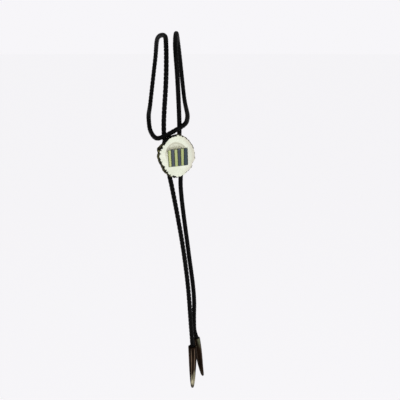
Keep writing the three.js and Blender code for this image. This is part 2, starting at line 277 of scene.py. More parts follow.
# Wear on the tips: the pale point starts later away from the right, and is faint away from the
# front, and its very end is dark again. Places are shares of the length, bearings are degrees
PALE_START, PALE_DELAY, PALE_RAMP = 0.47, 0.16, 0.3
PALE_RIGHT, PALE_FRONT, PALE_BEHIND = 20, 75, 0.25
TAIL_START, TAIL_RAMP = 0.83, 0.1

# Studio, in metres and watts
FLOOR_Z = -0.62
FLOOR_RADIUS = 40.0
FLOOR_SIDES = 96
FLOOR_TONE = (0.15, 0.15, 0.15)
FLOOR_GLOW = 0.93
PALE = (0.93, 0.92, 0.945)
WHITE = (1.0, 1.0, 1.0)
WORLD_FILL = 0.3
LIGHT_ROWS = (
    {"name": "key_light", "place": (0.75, -1.0, 0.45), "aim": (0.01, -0.04, -0.16), "size": 0.5,
     "power": 7.5},
    {"name": "fill_light", "place": (-0.9, -0.9, 0.1), "aim": (0.01, -0.04, -0.2), "size": 1.0,
     "power": 1.5},
)


# Curves

def open_spline(rows, samples):
    """A centripetal Catmull-Rom curve through the rows, with so many samples to each span."""
    rows = np.asarray(rows, float)
    ends = np.vstack((2 * rows[0] - rows[1], rows, 2 * rows[-1] - rows[-2]))
    before, start, end, after = ends[:-3], ends[1:-2], ends[2:-1], ends[3:]

    def knot(a, b):
        return np.maximum(np.sum((b - a) ** 2, axis=1, keepdims=True), 1e-12) ** 0.25

    d0, d1, d2 = knot(before, start), knot(start, end), knot(end, after)
    out = ((start - before) / d0 - (end - before) / (d0 + d1) + (end - start) / d1) * d1
    into = ((end - start) / d1 - (after - start) / (d1 + d2) + (after - end) / d2) * d1
    t = np.arange(samples)[None, :, None] / samples
    start, end, out, into = (value[:, None, :] for value in (start, end, out, into))
    curve = start + out * t + (3 * (end - start) - 2 * out - into) * t**2
    curve = curve + (2 * (start - end) + out + into) * t**3
    return np.vstack((curve.reshape(-1, rows.shape[1]), rows[-1:]))


def closed_spline(rows, samples):
    """A closed uniform Catmull-Rom curve through the rows."""
    before, start, end, after = (np.roll(rows, shift, axis=0)[:, None, :] for shift in (1, 0, -1, -2))
    t = np.arange(samples)[None, :, None] / samples
    curve = 2 * start + (end - before) * t + (2 * before - 5 * start + 4 * end - after) * t**2
    curve = curve + (3 * start - before - 3 * end + after) * t**3
    return (curve / 2).reshape(-1, rows.shape[1])


def unit(vectors):
    """The same ways with a length of 1."""
    return vectors / np.linalg.norm(vectors, axis=-1, keepdims=True)


def even_line(points, step):
    """The same line with even steps along its length: the distances and the points."""
    along = np.concatenate(([0.0], np.cumsum(np.linalg.norm(np.diff(points, axis=0), axis=1))))
    distance = np.linspace(0.0, along[-1], int(round(along[-1] / step)) + 1)
    return distance, np.stack([np.interp(distance, along, column) for column in points.T], axis=1)


class Line:
    """A space curve with a frame that doesn't twist along it: the frame square to the X axis,
    turned back at each place by the sum of its own turns about the curve up to there."""

    def __init__(self, points, step):
        self.distance, self.points = even_line(points, step)
        self.ahead = unit(np.gradient(self.points, axis=0))
        side = unit(np.cross(self.ahead, (1.0, 0.0, 0.0)))
        third = np.cross(self.ahead, side)
        turn = np.sum(np.diff(side, axis=0) * (third[1:] + third[:-1]) / 2, axis=1)
        twist = np.concatenate(([0.0], np.cumsum(turn)))[:, None]
        self.side = np.cos(twist) * side - np.sin(twist) * third

    @property
    def length(self):
        return float(self.distance[-1])

    def around(self, distance, angle, radius):
        """Points at a distance along the line and a radius from it: the line's own point plus the
        radius along a spoke, which is the cosine of the angle times the side way plus its sine
        times the third way."""
        distance = np.clip(distance, 0.0, self.length)

        def read(values):
            return np.stack([np.interp(distance, self.distance, column) for column in values.T], axis=-1)

        ahead = unit(read(self.ahead))
        side = read(self.side)
        side = unit(side - ahead * np.sum(side * ahead, axis=-1, keepdims=True))
        third = np.cross(ahead, side)
        spoke = np.cos(angle)[..., None] * side + np.sin(angle)[..., None] * third
        return read(self.points) + np.asarray(radius)[..., None] * spoke


# Meshes

def place_new(name, data):
    """A new object in the scene for a mesh, a light or a camera."""
    thing = bpy.data.objects.new(name, data)
    bpy.context.scene.collection.objects.link(thing)
    return thing


def with_middles(grid, rows):
    """The grid's points in one list, with the middles of the rows named after them."""
    middles = [grid[row].mean(axis=0) for row in rows]
    return np.vstack((grid.reshape(-1, grid.shape[-1]), *middles))


class Shell:
    """Points, faces and values at the points, gathered from skinned grids."""

    def __init__(self):
        self.points, self.faces, self.values, self.lays, self.count = [], [], {}, [], 0

    def skin(self, grid, values=None, lay=None, closed_rows=False):
        """Skins a grid of rows by columns. Each row is a closed ring that runs anticlockwise
        about the way from the first row to the last. The last row joins the first, or else a fan
        to its ring's middle closes each end."""
        rows, columns = grid.shape[:2]
        index = np.arange(rows * columns).reshape(rows, columns)
        near = index if closed_rows else index[:-1]
        far = np.roll(index, -1, axis=0) if closed_rows else index[1:]
        quads = (near, np.roll(near, -1, axis=1), np.roll(far, -1, axis=1), far)
        faces = np.stack(quads, axis=-1).reshape(-1, 4).tolist()
        ends = () if closed_rows else (0, rows - 1)
        for number, row in enumerate(ends):
            centre = np.full(columns, rows * columns + number)
            neighbour = np.roll(index[row], 1 if row else -1)
            faces += np.stack((centre, neighbour, index[row]), axis=1).tolist()
        self.faces += [[corner + self.count for corner in face] for face in faces]
        self.points.append(with_middles(grid, ends))
        for name, value in (values or {}).items():
            value = np.broadcast_to(value, grid.shape[:2])[..., None]
            self.values.setdefault(name, []).append(with_middles(value, ends)[:, 0])
        if lay is not None:
            self.lays.append(with_middles(lay, ends))
        self.count += rows * columns + len(ends)

    def mesh(self, name):
        """What is gathered, as a mesh in metres."""
        mesh = bpy.data.meshes.new(name)
        mesh.from_pydata((np.vstack(self.points) * MM).tolist(), [], self.faces)
        return mesh

    def build(self, name, finish, *nodes):
        """Makes the object, smooth, riding on the body in its nodes' place."""
        mesh = self.mesh(name)
        mesh.polygons.foreach_set("use_smooth", np.ones(len(mesh.polygons), bool))
        for attribute, value in self.values.items():
            layer = mesh.attributes.new(attribute, "FLOAT", "POINT")
            layer.data.foreach_set("value", np.concatenate(value).astype(np.float32))
        if self.lays:
            corner = np.empty(len(mesh.loops), np.int32)
            mesh.loops.foreach_get("vertex_index", corner)
            layer = mesh.uv_layers.new(name="lay")
            layer.data.foreach_set("uv", np.vstack(self.lays)[corner].ravel().astype(np.float32))
        mesh.update()
        piece = place_new(name, mesh)
        mesh.materials.append(finish.material)
        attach(piece, BODY)
        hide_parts(*nodes)
        return piece


# Shader maths

class Wire:
    """A shader socket that Python's operators join to others, or to numbers, by Math nodes."""

    def __init__(self, finish, socket):
        self.finish = finish
        self.socket = socket

    def maths(self, operation, *values):
        return self.finish.add("ShaderNodeMath", {"operation": operation}, dict(enumerate(values)))

    def __add__(self, other):
        return self.maths("ADD", self, other)

    def __sub__(self, other):
        return self.maths("SUBTRACT", self, other)

    def __rsub__(self, other):
        return self.maths("SUBTRACT", other, self)

    def __mul__(self, other):
        return self.maths("MULTIPLY", self, other)

    def __truediv__(self, other):
        return self.maths("DIVIDE", self, other)

    def __pow__(self, other):
        return self.maths("POWER", self, other)

    __radd__ = __add__
    __rmul__ = __mul__

    def size(self):
        return self.maths("ABSOLUTE", self)

    def rise(self, low, high):
        """0 below low and 1 above high, with a soft step between; low may be above high."""
        settings = {"interpolation_type": "SMOOTHSTEP"}
        inputs = {0: self, 1: low, 2: high, 3: 0.0, 4: 1.0}
        if low > high:
            inputs = {0: self, 1: high, 2: low, 3: 1.0, 4: 0.0}
        return self.finish.add("ShaderNodeMapRange", settings, inputs)


def add_node(tree, kind, settings=None, values=None):
    """A node of any kind: its settings first, then the values or links of its sockets."""
    node = tree.nodes.new(kind)
    for name, value in (settings or {}).items():
        setattr(node, name, value)
    for name, value in (values or {}).items():
        socket = node.inputs[name]
        if isinstance(value, (Wire, bpy.types.NodeSocket)):
            tree.links.new(getattr(value, "socket", value), socket)
        elif hasattr(socket.default_value, "__len__") and len(value) < len(socket.default_value):
            socket.default_value = (*value, 1.0)
        else:
            socket.default_value = value
    return node


class Finish:
    """One material: a principled shader and the nodes that feed it."""

    def __init__(self, name, slot, **constants):
        self.slot = slot
        self.material = bpy.data.materials.new(name)
        self.material.use_nodes = True
        self.tree = self.material.node_tree
        self.tree.nodes.clear()
        self.constants = constants

    def feed(self, **values):
        """Adds the shader with its constants and what feeds it, by the sockets' names in words
        joined by underscores."""
        inputs = {**self.constants, **values}
        inputs = {name.replace("_", " ").title().replace("Ior", "IOR"): inputs[name] for name in inputs}
        shader = add_node(self.tree, "ShaderNodeBsdfPrincipled", {}, inputs)
        add_node(self.tree, "ShaderNodeOutputMaterial", {}, {"Surface": shader.outputs["BSDF"]})

    def add(self, kind, settings=None, values=None, output=0):
        return Wire(self, add_node(self.tree, kind, settings, values).outputs[output])

    def blend(self, share, low, high):
        """A colour between two colours."""
        return self.add("ShaderNodeMix", {"data_type": "RGBA"}, {0: share, 6: low, 7: high}, 2)

    def space(self, scale=(1.0, 1.0, 1.0)):
        """Object coordinates, stretched."""
        place = self.add("ShaderNodeTexCoord", output="Object")
        return self.add("ShaderNodeMapping", {}, {"Vector": place, "Scale": scale})

    def lay(self, scale=(1.0, 1.0, 1.0)):
        """The piece's own flat coordinates, stretched."""
        place = self.add("ShaderNodeUVMap", {"uv_map": "lay"})
        return self.add("ShaderNodeMapping", {}, {"Vector": place, "Scale": scale})

    def lay_xy(self):
        """The two numbers of the piece's own flat coordinates."""
        place = self.add("ShaderNodeUVMap", {"uv_map": "lay"})
        return (self.add("ShaderNodeSeparateXYZ", {}, {0: place}, side) for side in ("X", "Y"))

    def noise(self, vector, scale, detail=3.0, roughness=0.5):
        values = {"Vector": vector, "Scale": scale, "Detail": detail, "Roughness": roughness}
        return self.add("ShaderNodeTexNoise", {}, values)

    def value(self, name):
        return self.add("ShaderNodeAttribute", {"attribute_name": name}, output="Fac")

    def bump(self, height, distance, strength=1.0):
        values = {"Height": height, "Distance": distance, "Strength": strength}
        return self.add("ShaderNodeBump", {}, values)


def srgb(red, green, blue):
    """A colour given as 0 to 255, as the shader's linear light."""
    shares = np.array((red, green, blue)) / 255.0
    linear = np.where(shares <= 0.04045, shares / 12.92, ((shares + 0.055) / 1.055) ** 2.4)
    return tuple(float(value) for value in linear)


# Finishes

# The edge tone is a painted glint along the laces' edges
LEATHER = {"dark": srgb(4, 4, 4), "worn": srgb(9, 9, 9), "edge": srgb(26, 25, 24)}
ANTLER = {
    "pale": srgb(245, 248, 231),
    "cloud": srgb(233, 237, 217),
    "top_and_foot": srgb(224, 229, 206),
    "right": srgb(217, 219, 202),
    "right_edge": srgb(208, 198, 180),
    "core": srgb(208, 208, 186),
    "ring": srgb(176, 170, 146),
    "by_inlay": srgb(178, 175, 150),
    "streak": srgb(128, 124, 98),
    "pore": srgb(120, 117, 96),
    "bark": srgb(9, 9, 4),
    # Painted highlight on the tops of the dark bark's knobs
    "bark_crest_highlight": srgb(128, 124, 82),
    "worn_bark": srgb(86, 80, 63),
    # Painted highlight on the tops of the worn bark's knobs
    "worn_bark_highlight": srgb(186, 183, 164),
}
HORN = {
    "dark": srgb(14, 6, 1),
    "brown": srgb(32, 20, 11),
    # Painted highlight along the tine's ridges
    "ridge": srgb(118, 99, 82),
    "tail": srgb(48, 42, 36),
    # Painted highlight down one side of a tip, near its mouth
    "side_highlight": srgb(116, 119, 95),
}
METAL = {"dull": (0.52, 0.5, 0.46), "bright": (0.66, 0.64, 0.6)}
STONES = {
    "green_stone": (srgb(208, 211, 144), srgb(168, 180, 114), srgb(216, 218, 164)),
    "slate_stone": (srgb(72, 80, 94), srgb(50, 59, 70), srgb(90, 97, 110)),
    "teal_stone": (srgb(38, 63, 75), srgb(24, 46, 56), srgb(56, 82, 94)),
}
FADED_STONE = srgb(168, 172, 150)
JOINT_SHADE = 0.35


def black_leather():
    """Black leather with a fine grain, a little worn in patches, with a painted glint along each lace's
    edges.
    """
    finish = Finish("black_leather", "black_leather", specular_ior_level=0.05)
    grain = finish.noise(finish.space(), 5200.0, 4.0, 0.6)
    patches = finish.noise(finish.space(), 160.0, 3.0)
    tone = finish.blend(patches.rise(0.35, 0.7), LEATHER["dark"], LEATHER["worn"])
    # Painted glint along each lace's edges
    tone = finish.blend(finish.value("edge").rise(0.75, 1.0) * 0.4, tone, LEATHER["edge"])
    normal = finish.bump(grain, 0.06 * MM, 0.6)
    finish.feed(base_color=tone, roughness=0.28 + 0.2 * grain, normal=normal)
    return finish


def antler_core(finish, tone, x, y, cloud, fine):
    """The tone with the core in it: a soft-edged oval with a ring near its rim, pores, and
    streaks above the inlay. Also the core's share and the pores'."""
    core_x = (x - CORE_CENTRE[0]) / CORE_RADII[0]
    core_y = (y - CORE_CENTRE[1]) / CORE_RADII[1]
    reach = (core_x * core_x + core_y * core_y) ** 0.5 + 0.16 * (cloud - 0.5)
    core = reach.rise(1.12, 0.74)
    ring = (reach - 0.96).size().rise(0.1, 0.0) * y.rise(-2.0, 8.0)
    cells = finish.add("ShaderNodeTexVoronoi", {}, {"Vector": finish.lay(), "Scale": 1.15})
    pores = cells.rise(0.42, 0.2) * core * fine.rise(0.4, 0.6)
    near = core * (y - INLAY_TOP).size().rise(4.0, 0.5)
    streaks = finish.noise(finish.lay((2.2, 0.3, 1.0)), 1.0, 3.0)
    tone = finish.blend(core * 0.7, tone, ANTLER["core"])
    tone = finish.blend(ring * 0.65, tone, ANTLER["ring"])
    tone = finish.blend(near * 0.55, tone, ANTLER["by_inlay"])
    tone = finish.blend(near * streaks.rise(0.46, 0.55) * 0.95, tone, ANTLER["streak"])
    tone = finish.blend(pores * 0.7, tone, ANTLER["pore"])
    return tone, core, pores


def antler_bark(finish, crest, rough, shaded):
    """The bark's tone: near black on the left and worn grey on the right, with a painted highlight on the
    knobs' crests on both.
    """
    # Painted highlight on the crests of the dark bark's knobs
    lit = crest.rise(0.2, 0.8) * rough.rise(0.38, 0.62)
    dark = finish.blend(lit, ANTLER["bark"], ANTLER["bark_crest_highlight"])
    # Painted highlight on the crests of the worn bark's knobs
    lit = crest.rise(0.1, 0.6) * (0.5 + rough)
    worn = finish.blend(lit, ANTLER["worn_bark"], ANTLER["worn_bark_highlight"])
    return finish.blend(shaded, worn, dark)


def antler_face():
    """Pale compact antler, a greyer porous core, and dark knobbly bark round the rim."""
    finish = Finish("antler_slice", "antler", specular_ior_level=0.12, coat_roughness=0.3)
    x, y = finish.lay_xy()
    bark, crest, border = (finish.value(name) for name in ("bark", "crest", "border"))
    cloud = finish.noise(finish.space(), 120.0, 4.0)
    fine = finish.noise(finish.space(), 900.0, 3.0)
    rough = finish.noise(finish.space(), 700.0, 4.0)
    tone = finish.blend(cloud.rise(0.36, 0.62), ANTLER["pale"], ANTLER["cloud"])
    tone = finish.blend((y - 1.0).size().rise(8.0, 18.0) * 0.5, tone, ANTLER["top_and_foot"])
    tone = finish.blend(x.rise(8.0, 17.0) * 0.75, tone, ANTLER["right"])
    tone = finish.blend(border.rise(0.75, 1.0) * x.rise(2.0, 14.0) * 0.5, tone, ANTLER["right_edge"])
    tone, core, pores = antler_core(finish, tone, x, y, cloud, fine)
    shaded = x.rise(5.0, 0.0)
    notch = border.rise(0.965, 0.995) * crest.rise(0.36, 0.12) * (0.15 + shaded)
    edge = (bark + notch + 0.5 * (fine - 0.5)).rise(0.35, 0.6)
    finish.feed(
        base_color=finish.blend(edge, tone, antler_bark(finish, crest, rough, shaded)),
        roughness=0.35 + 0.35 * edge + 0.2 * core,
        coat_weight=0.5 * (1.0 - edge),
        normal=finish.bump(rough * edge * 0.6 - pores + fine * 0.12, 0.22 * MM),
    )
    return finish


def stone(slot, light, dark, vein):
    """Polished stone with soft lengthwise bands and a darker line along its joints."""
    finish = Finish(slot, slot, specular_ior_level=0.5, coat_weight=0.2, coat_roughness=0.12)
    bands = finish.noise(finish.lay((0.9, 0.1, 1.0)), 1.0, 4.0, 0.6)
    specks = finish.noise(finish.space(), 1400.0, 3.0, 0.65)
    side, fade, shade = (finish.value(name) for name in ("side", "fade", "shade"))
    tone = finish.blend(bands.rise(0.32, 0.68), light, dark)
    tone = finish.blend(specks.rise(0.6, 0.75) * 0.5, tone, vein)
    tone = finish.blend(shade, tone, dark)
    tone = finish.blend(side.rise(0.72, 1.0) * 0.6, tone, tuple(JOINT_SHADE * value for value in dark))
    tone = finish.blend(fade, tone, FADED_STONE)
    finish.feed(base_color=tone, roughness=0.2 + 0.12 * specks, normal=finish.bump(bands, 0.12 * MM, 0.5))
    return finish


def dark_antler(name, worn_tone, worn_share):
    """Dark horn with a painted highlight along its lengthwise ridges; the point is worn pale, and one side
    has a painted highlight.
    """
    finish = Finish(name, "dark_antler", specular_ior_level=0.03)
    ridge, pale, tail, bleach = (finish.value(value) for value in ("ridge", "pale", "tail", "bleach"))
    streaks = finish.noise(finish.space((1.0, 1.0, 0.08)), 900.0, 4.0, 0.6)
    clouds = finish.noise(finish.space(), 140.0, 2.0)
    broad = finish.noise(finish.space((1.0, 1.0, 0.12)), 420.0, 2.0).rise(0.42, 0.58)
    lines = streaks.rise(0.42, 0.62)
    tone = finish.blend(clouds.rise(0.35, 0.65), HORN["dark"], HORN["brown"])
    # Painted highlight along the ridges
    lit = (ridge * (0.5 + streaks)).rise(0.42, 1.05) * (0.45 + 0.55 * worn_share)
    tone = finish.blend(lit, tone, HORN["ridge"])
    worn = (pale * (0.1 + 0.6 * broad + 0.3 * lines + 0.6 * ridge)).rise(0.08, 0.78) * worn_share
    tone = finish.blend(worn, tone, worn_tone)
    tone = finish.blend(tail * (0.7 + 0.5 * streaks), tone, HORN["tail"])
    # Painted highlight down one side, fading from the mouth
    tone = finish.blend((bleach * (0.4 + streaks)).rise(0.2, 1.0) * 0.75, tone, HORN["side_highlight"])
    normal = finish.bump(streaks, 0.12 * MM, 0.7)
    finish.feed(base_color=tone, roughness=0.36 + 0.2 * streaks, normal=normal)
    return finish


def clip_metal():
    """Plain metal, brushed up and down and a little duller in patches."""
    finish = Finish("clip_metal", "clip_metal", metallic=1.0)
    brushed = finish.noise(finish.space((1.0, 1.0, 0.04)), 2600.0, 3.0)
    patches = finish.noise(finish.space(), 150.0, 3.0)
    tone = finish.blend(patches.rise(0.3, 0.7), METAL["dull"], METAL["bright"])
    normal = finish.bump(brushed, 0.03 * MM, 0.6)
    finish.feed(base_color=tone, roughness=0.26 + 0.22 * brushed, normal=normal)
    return finish


# Camera and cord

def add_camera():
    """Looks at the aim from in front, pitched down."""
    pitch = np.radians(CAMERA_PITCH)
    look = np.array((0.0, np.cos(pitch), -np.sin(pitch)))
    data = bpy.data.cameras.new("studio_camera")
    data.sensor_width = SENSOR_WIDTH
    data.lens = CAMERA_FOCAL_PX / PICTURE_PX * SENSOR_WIDTH
    data.clip_start, data.clip_end = SEEN_FROM, SEEN_TO
    camera = place_new("studio_camera", data)
    camera.location = (np.array(CAMERA_AIM) - CAMERA_DISTANCE * look) * MM
    camera.rotation_euler = Vector(look).to_track_quat("-Z", "Y").to_euler()
    bpy.context.scene.camera = camera


def lace(shell, line, hand, phase):
    """One flat lace: its middle turns once round the cord in each lead, and rises over or dips
    under the laces of the other hand at every quarter turn. Its oval section lies round the
    cord, square to the lace."""
    mean_radius = BRAID_RADIUS - LACE_RISE - LACE_THICKNESS / 2
    lean = np.arctan2(2 * np.pi * (mean_radius + LACE_RISE), LACE_LEAD)
    distance = np.linspace(0.0, line.length, int(line.length / LACE_STEP))[:, None]
    turn = 2 * np.pi * distance / LACE_LEAD
    wave = np.tanh(LACE_FLATTENING * np.cos(2 * turn)) / np.tanh(LACE_FLATTENING)
    radius = mean_radius + hand * LACE_RISE * wave
    corner = -2 * np.pi * np.arange(LACE_SECTION_POINTS)[None, :] / LACE_SECTION_POINTS
    across = LACE_WIDTH / 2 * np.sign(np.cos(corner)) * np.abs(np.cos(corner)) ** LACE_SIDE_POWER
    height = LACE_THICKNESS / 2 * np.sign(np.sin(corner)) * np.abs(np.sin(corner)) ** LACE_FACE_POWER
    angle = hand * turn + phase + np.cos(lean) * across / (mean_radius + LACE_RISE)
    grid = line.around(distance - hand * np.sin(lean) * across, angle, radius + height)
    edge = np.broadcast_to(np.abs(across) / (LACE_WIDTH / 2), grid.shape[:2])
    shell.skin(grid, {"edge": edge})


def add_cord(finish):
    """The braid along the cord's route, as one piece."""
    line = Line(open_spline(CORD_ROUTE, ROUTE_SAMPLES_PER_SPAN), LINE_STEP)
    shell = Shell()
    for hand, phase in ((1, 0.0), (1, np.pi), (-1, 0.0), (-1, np.pi)):
        lace(shell, line, hand, phase)
    steps = np.linspace(0.0, line.length, int(line.length / CORE_STEP))[:, None]
    angles = 2 * np.pi * np.arange(CORE_SIDES)[None, :] / CORE_SIDES
    core = line.around(steps + 0 * angles, angles + 0 * steps, CORE_RADIUS + 0 * (steps + angles))
    shell.skin(core, {"edge": 0.0})
    cord = shell.build("leather_cord", finish, "braided_cord")


# Slide

def slide_frame():
    """The slide's middle, its right, up and front ways, and half the distance between the
    tunnels, from the two stretches of cord in them."""
    tops = np.array((FRONT_TUNNEL_TOP, REAR_TUNNEL_TOP))
    feet = np.array((FRONT_TUNNEL_FOOT, REAR_TUNNEL_FOOT))
    middles = (tops + feet) / 2
    up = unit((tops - feet).sum(axis=0))
    across = middles[1] - middles[0]
    front = unit(np.cross(across, up))
    right = np.cross(up, front)
    return middles.mean(axis=0), np.array((right, up, front)), float(across @ right) / 2


SLIDE_CENTRE, SLIDE_AXES, TUNNEL_X = slide_frame()


def on_slide(x, y, z):
    """Points of the slide's own frame, in the part's frame."""
    local = np.stack(np.broadcast_arrays(x, y, z), axis=-1)
    return SLIDE_CENTRE + local @ SLIDE_AXES


def knob_heights(around, upward, total):
    """How far knobs stand out: half balls of many sizes, scattered on a few rough rows, of
    which the highest at each place counts. Distances run round the rim and up it."""
    random = np.random.default_rng(KNOB_SEED)
    height = np.zeros_like(around)
    count = int(total / KNOB_SPACING)
    for level in KNOB_LEVELS:
        places = (np.arange(count) + random.uniform(-KNOB_SCATTER, KNOB_SCATTER, count)) * total / count
        levels = level * SLICE_THICKNESS + random.uniform(-KNOB_LIFT, KNOB_LIFT, count)
        radii = random.uniform(*KNOB_RADIUS, count)
        tops = random.uniform(*KNOB_HEIGHT, count)
        for place, middle, radius, top in zip(places, levels, radii, tops):
            gap = np.abs(around - place)
            gap = np.minimum(gap, total - gap)
            room = 1.0 - (gap**2 + (upward - middle) ** 2) / radius**2
            height = np.maximum(height, top * np.sqrt(np.maximum(room, 0.0)))
    return height


def slice_outline():
    """A closed smooth curve through the outline's rows: the face's edge, the flare's reach, the
    outward way, the distance round the rim at each point, and the whole way round."""
    angle = np.radians(RIM_ROWS[:, 0])
    way = np.stack((np.cos(angle), np.sin(angle)), axis=1)
    edge = way * RIM_ROWS[:, 1:2] * np.array((FACE_WIDTH, FACE_HEIGHT)) / 2
    flare = way * RIM_ROWS[:, 2:3] * RIM_FLARE
    outline = closed_spline(np.hstack((edge, flare)), RIM_SAMPLES_PER_ROW)
    edge, flare = outline[:, :2], outline[:, 2:]
    ahead = np.roll(edge, -1, axis=0) - np.roll(edge, 1, axis=0)
    outward = unit(np.stack((ahead[:, 1], -ahead[:, 0]), axis=1))
    steps = np.linalg.norm(np.diff(np.vstack((edge, edge[:1])), axis=0), axis=1)
    around = np.concatenate(([0.0], np.cumsum(steps)[:-1]))[None, :]
    return edge, flare, outward, around, steps.sum()


def slice_shell():
    """The slice, in rings that follow the outline. A ring of the rim is the face's edge plus its
    share of the flare, moved outward by the knobs less the inset. The back's rings are the rim's
    first ring drawn in, and the face's its last ring drawn in and raised in a low dome."""
    edge, flare, outward, around, total = slice_outline()
    levels = open_spline(RIM_LEVELS, RIM_SAMPLES_PER_LEVEL)
    height, reach, inset, knob_share = (column[:, None] for column in levels.T)
    upward = height * SLICE_THICKNESS
    knobs = knob_heights(around + 0 * upward, upward + 0 * around, total)
    bearing = np.degrees(np.arctan2(edge[:, 1], edge[:, 0])) % 360
    calm = 1.0 - CALM_SHARE * np.exp(-(((bearing - CALM_BEARING) / CALM_WIDTH) ** 2))
    sink = KNOB_SINK * (0.5 + 0.5 * np.tanh(edge[:, 0] / KNOB_SINK_REACH))
    knobs = (knobs - sink) * knob_share * calm
    rim = edge + reach[..., None] * flare + (knobs - inset)[..., None] * outward
    rim_z = SLICE_BACK + upward + 0 * around
    face_share = np.linspace(1.0, 0.0, FACE_RINGS + 1)[1:-1, None]
    face = face_share[..., None] * rim[-1]
    face_z = FACE_Z + FACE_DOME * (1.0 - face_share**2) + 0 * around
    back_share = np.linspace(0.0, 1.0, BACK_RINGS + 1)[1:-1, None]
    back = back_share[..., None] * rim[0]
    back_z = SLICE_BACK + 0 * back_share + 0 * around
    flat = np.concatenate((back, rim, face)) + SLICE_OFFSET
    grid = on_slide(flat[..., 0], flat[..., 1], np.concatenate((back_z, rim_z, face_z)))
    bark = (height > BARK_LEVELS[0]) & (height < BARK_LEVELS[1])
    crest = knobs / KNOB_HEIGHT[1]
    values = {
        "bark": np.concatenate((0 * back_z, bark + 0 * rim_z, 0 * face_z)),
        "crest": np.concatenate((0 * back_z, crest, crest[-1] + 0 * face_z)),
        "border": np.concatenate((0 * back_z, 1 + 0 * rim_z, face_share + 0 * face_z)),
    }
    shell = Shell()
    shell.skin(grid, values, flat)
    return shell


def inlay_pocket():
    """A four-sided block that cuts the inlay's seat in the face."""
    first, last = STRIP_ROWS[0], STRIP_ROWS[-1]
    left = INLAY_LEFT - SEAT_GAP + INLAY_WIDTH * np.array((first["foot"][0], first["top"][0]))
    right = INLAY_LEFT + SEAT_GAP + INLAY_WIDTH * np.array((last["foot"][1], last["top"][1]))
    foot, top = INLAY_FOOT - SEAT_GAP, INLAY_TOP + SEAT_GAP
    corners = np.array(((left[0], foot), (right[0], foot), (right[1], top), (left[1], top)))
    floor = FACE_Z - POCKET_DEPTH
    levels = (floor, floor + POCKET_CUT)
    shell = Shell()
    shell.skin(np.stack([on_slide(corners[:, 0], corners[:, 1], level) for level in levels]))
    return place_new("inlay_pocket", shell.mesh("inlay_pocket"))


def cut(piece, cutter):
    """Takes the cutter out of the piece and away."""
    modifier = piece.modifiers.new("cut", "BOOLEAN")
    modifier.object = cutter
    modifier.operation = "DIFFERENCE"
    modifier.solver = "EXACT"
    depsgraph = bpy.context.evaluated_depsgraph_get()
    done = bpy.data.meshes.new_from_object(piece.evaluated_get(depsgraph), depsgraph=depsgraph)
    piece.modifiers.clear()
    old, piece.data = piece.data, done
    bpy.data.meshes.remove(old)
    bpy.data.objects.remove(cutter)


def add_slice(finish):
    """The slice with the inlay's seat cut in its face."""
    piece = slice_shell().build("antler_slide", finish, "antler_slice")
    cut(piece, inlay_pocket())


def strip_lengthways(foot, top):
    """Places along a strip, close together at its ends, and how far the top drops at each: a
    quarter circle at both ends and nothing between."""
    rounding = INLAY_FILLET * (1.0 - np.cos(np.linspace(0.0, np.pi / 2, FILLET_POINTS)))
    inner = np.linspace(foot, top, LENGTH_POINTS)[2:-2]
    ends = np.concatenate((foot + rounding, inner, top - rounding[::-1]))
    nearest = np.minimum(ends - foot, top - ends)
    drop = INLAY_FILLET - np.sqrt(INLAY_FILLET**2 - np.maximum(INLAY_FILLET - nearest, 0.0) ** 2)
    return ends[:, None], drop[:, None]


def strip_crossways(half):
    """Places across a strip from its middle, and how far the top drops at each: a quarter circle
    at both sides and nothing between."""
    corner = np.radians(np.linspace(0.0, 90.0, FILLET_POINTS))
    inner = np.linspace(-1.0, 1.0, CROWN_POINTS)[1:-1]
    flat = half - INLAY_FILLET
    wide = np.concatenate((
        -flat - INLAY_FILLET * np.cos(corner),
        flat * inner,
        flat + INLAY_FILLET * np.cos(corner[::-1]),
    ), axis=1)
    drop = 1.0 - np.concatenate((np.sin(corner), 1.0 + 0.0 * inner, np.sin(corner[::-1])))
    return wide, INLAY_FILLET * drop


def add_strip(index, row, finish):
    """One strip: a flat base, upright sides and a low domed top with rounded edges and ends. The
    top is the crown less both drops, and less the dome times the square of the place across."""
    foot, top = (INLAY_FOOT + share * INLAY_HEIGHT for share in row["ends"])
    y, end_drop = strip_lengthways(foot, top)
    share = (y - foot) / (top - foot)
    left, right = (
        INLAY_LEFT + INLAY_WIDTH * (row["foot"][side] + share * (row["top"][side] - row["foot"][side]))
        for side in (0, 1)
    )
    left, right = left + INLAY_JOINT / 2, right - INLAY_JOINT / 2
    middle, half = (left + right) / 2, (right - left) / 2
    wide, side_drop = strip_crossways(half)
    base = FACE_Z - POCKET_DEPTH + SEAT_GAP
    crown = FACE_Z + INLAY_PROUD - end_drop - side_drop - INLAY_DOME * (wide / half) ** 2
    x = np.hstack((left, middle + wide, right))
    z = np.hstack((0 * left + base, crown, 0 * right + base))
    y = y + 0 * x
    values = {
        "side": np.abs((x - middle) / half),
        "fade": row["fade"] * np.clip(1.0 - (top - y) / FADE_LENGTH, 0.0, 1.0),
        "shade": row["shade"],
    }
    shell = Shell()
    shell.skin(on_slide(x, y, z), values, np.stack((x - left + GRAIN_SHIFT * index, y), axis=-1))
    shell.build(f"stone_strip_{index}", finish, f"inlay_strip_{index}")


